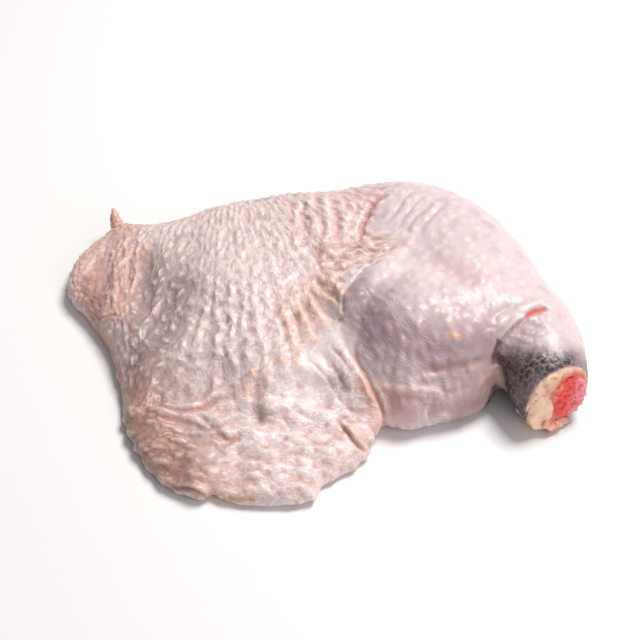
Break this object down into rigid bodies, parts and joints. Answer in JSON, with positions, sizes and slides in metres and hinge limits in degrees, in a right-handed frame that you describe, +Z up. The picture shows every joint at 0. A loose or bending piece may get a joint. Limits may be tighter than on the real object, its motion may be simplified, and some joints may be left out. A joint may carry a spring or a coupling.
{
  "type": "raw chicken leg",
  "caption": "Raw chicken leg with the skin on: a spread thigh with a tail flap and a loose skin hem, a bent drumstick, and a scaly hock cut through at the end.",
  "frame": {"origin": "on the resting plane, under the middle of the leg's outline", "axes": "+X from the tail flap to the hock, +Y from the skin hem to the shin, +Z up"},
  "size_m": [0.1984, 0.1495, 0.0385],
  "materials": {
    "chicken_skin": "raw skin, pale pink and moist, with rows of feather bumps and soft folds",
    "cartilage": "cream gristle, smooth and wet",
    "bone_marrow": "cut bone end with wet red marrow"
  },
  "bodies": {
    "root": {"leg": "chicken_skin", "hock_cartilage": "cartilage", "shin_bone": "bone_marrow"}
  },
  "joints": []
}
